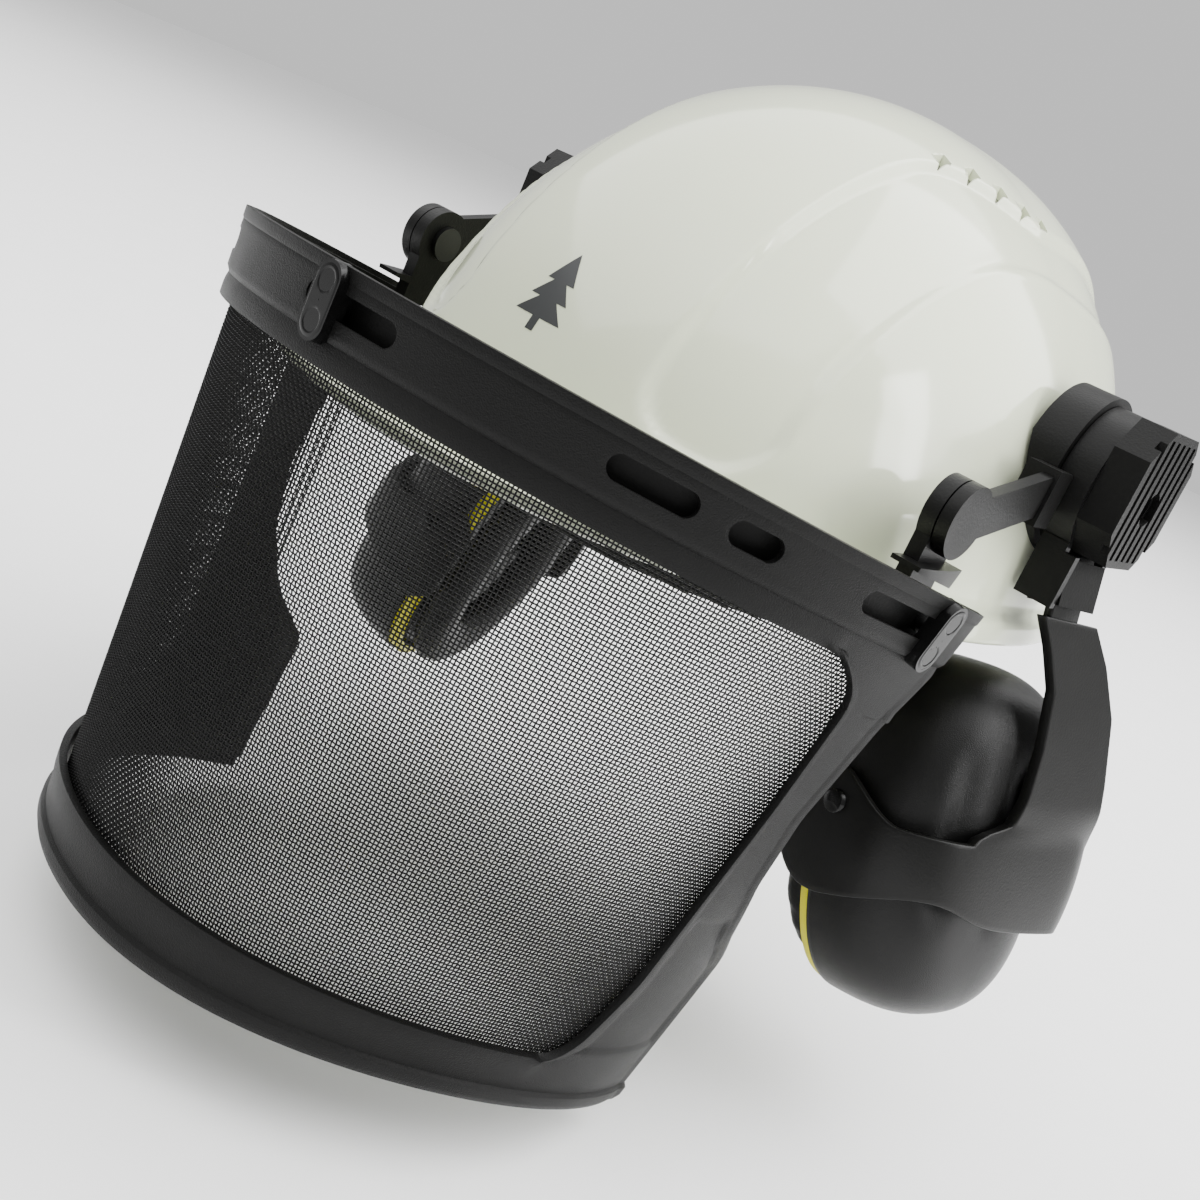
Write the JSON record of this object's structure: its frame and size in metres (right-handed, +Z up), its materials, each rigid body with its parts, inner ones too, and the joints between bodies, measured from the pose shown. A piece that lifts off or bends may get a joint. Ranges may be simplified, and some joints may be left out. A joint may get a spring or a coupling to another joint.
{
  "type": "forestry helmet",
  "caption": "Hard safety helmet with a head harness, a hinged wire-mesh face visor and swivelling ear muffs on side mounts.",
  "frame": {"origin": "a point on the helmet's middle plane inside the dome, 42 mm in front of the headband's centre and 16 mm above the rim's lower edge", "axes": "+Z up, -Y the way the wearer looks, +X the wearer's left"},
  "size_m": [0.3278, 0.3515, 0.3099],
  "materials": {
    "shell_white": "glossy injection-moulded shell",
    "harness_plastic": "moulded",
    "sweatband": "soft padded band",
    "webbing": "woven",
    "webbing_end": "moulded end clips",
    "black_gloss": "polished",
    "visor_black": "fine-grained",
    "mesh_wire": "black-coated fine wire weave",
    "mount_black": "satin",
    "arm_black": "satin",
    "cap_charcoal": "satin, ribbed",
    "cup_black": "fine texture, glossy towards the rim",
    "yoke_charcoal": "satin",
    "ring_yellow": "satin",
    "cushion_vinyl": "soft vinyl skin over foam",
    "foam_grey": "open-cell foam",
    "pin_steel": "dark",
    "spring_steel": "bright",
    "washer": "plain"
  },
  "bodies": {
    "helmet": {"shell": "shell_white", "headband": "harness_plastic", "sweatband": "sweatband", "crown_strap_front": "webbing", "crown_strap_rear": "webbing", "crown_strap_long": "webbing", "harness_anchors": "webbing_end", "ratchet_housing": "harness_plastic", "mount_base_left": "mount_black", "visor_arm_left": "arm_black", "pivot_pin_left": "pin_steel", "friction_washer_left": "washer", "mount_screw_left": "pin_steel", "mount_base_right": "mount_black", "visor_arm_right": "arm_black", "pivot_pin_right": "pin_steel", "friction_washer_right": "washer", "mount_screw_right": "pin_steel"},
    "visor": {"visor_frame": "visor_black", "visor_mesh": "mesh_wire", "visor_carrier": "visor_black", "visor_link_left": "arm_black", "visor_link_right": "arm_black"},
    "button_front": {"turn_button_front": "black_gloss"},
    "button_left": {"turn_button_left": "black_gloss"},
    "button_right": {"turn_button_right": "black_gloss"},
    "ratchet": {"ratchet_knob": "black_gloss", "ratchet_pinion": "harness_plastic"},
    "swivel_left": {"mount_body_left": "mount_black", "mount_cap_left": "cap_charcoal", "mount_spring_left": "spring_steel", "hinge_pin_left": "pin_steel"},
    "hinge_left": {"hinge_block_left": "mount_black"},
    "arm_left": {"yoke_arm_left": "yoke_charcoal", "yoke_pins_left": "pin_steel"},
    "cup_left": {"ear_cup_left": "cup_black", "seal_ring_left": "ring_yellow", "cup_plate_left": "mount_black", "ear_cushion_left": "cushion_vinyl", "foam_liner_left": "foam_grey"},
    "swivel_right": {"mount_body_right": "mount_black", "mount_cap_right": "cap_charcoal", "mount_spring_right": "spring_steel", "hinge_pin_right": "pin_steel"},
    "hinge_right": {"hinge_block_right": "mount_black"},
    "arm_right": {"yoke_arm_right": "yoke_charcoal", "yoke_pins_right": "pin_steel"},
    "cup_right": {"ear_cup_right": "cup_black", "seal_ring_right": "ring_yellow", "cup_plate_right": "mount_black", "ear_cushion_right": "cushion_vinyl", "foam_liner_right": "foam_grey"}
  },
  "joints": [
    {"name": "visor_lift", "type": "hinge", "parent": "helmet", "child": "visor", "pos_m": [0, -0.0293, 0.0233], "axis": [-1, 0, 0], "range_deg": [0, 95]},
    {"name": "turn_front", "type": "hinge", "parent": "visor", "child": "button_front", "pos_m": [-0.00646, -0.16014, 0.01428], "axis": [-0.0519, -0.9981, 0.0326], "range_deg": [0, 90]},
    {"name": "turn_left", "type": "hinge", "parent": "visor", "child": "button_left", "pos_m": [0.12313, -0.04694, -0.00389], "axis": [0.9896, -0.0883, -0.1134], "range_deg": [0, 90]},
    {"name": "turn_right", "type": "hinge", "parent": "visor", "child": "button_right", "pos_m": [-0.12313, -0.04694, -0.00389], "axis": [-0.9896, -0.0883, -0.1134], "range_deg": [0, 90]},
    {"name": "ratchet_turn", "type": "hinge", "parent": "helmet", "child": "ratchet", "pos_m": [0, 0.153, -0.021], "axis": [0, 1, 0], "continuous": true},
    {"name": "swivel_left", "type": "hinge", "parent": "helmet", "child": "swivel_left", "pos_m": [0.118, 0.052, 0.043], "axis": [1, 0, 0], "range_deg": [-12, 12]},
    {"name": "arm_tilt_left", "type": "hinge", "parent": "swivel_left", "child": "hinge_left", "pos_m": [0.11841, 0.05182, 0.01099], "axis": [-0.2588, -0.9659, 0], "range_deg": [-4, 12]},
    {"name": "arm_slide_left", "type": "slide", "parent": "hinge_left", "child": "arm_left", "axis": [-0.25, 0.067, 0.9659], "range_m": [-0.01, 0]},
    {"name": "cup_tilt_left", "type": "hinge", "parent": "arm_left", "child": "cup_left", "pos_m": [0.11346, 0.06454, -0.0802], "axis": [-0.2588, -0.9659, 0], "range_deg": [-7, 7]},
    {"name": "swivel_right", "type": "hinge", "parent": "helmet", "child": "swivel_right", "pos_m": [-0.118, 0.052, 0.043], "axis": [1, 0, 0], "range_deg": [-12, 12]},
    {"name": "arm_tilt_right", "type": "hinge", "parent": "swivel_right", "child": "hinge_right", "pos_m": [-0.11841, 0.05182, 0.01099], "axis": [-0.2588, 0.9659, 0], "range_deg": [-4, 12]},
    {"name": "arm_slide_right", "type": "slide", "parent": "hinge_right", "child": "arm_right", "axis": [0.25, 0.067, 0.9659], "range_m": [-0.01, 0]},
    {"name": "cup_tilt_right", "type": "hinge", "parent": "arm_right", "child": "cup_right", "pos_m": [-0.11346, 0.06454, -0.0802], "axis": [-0.2588, 0.9659, 0], "range_deg": [-7, 7]}
  ]
}
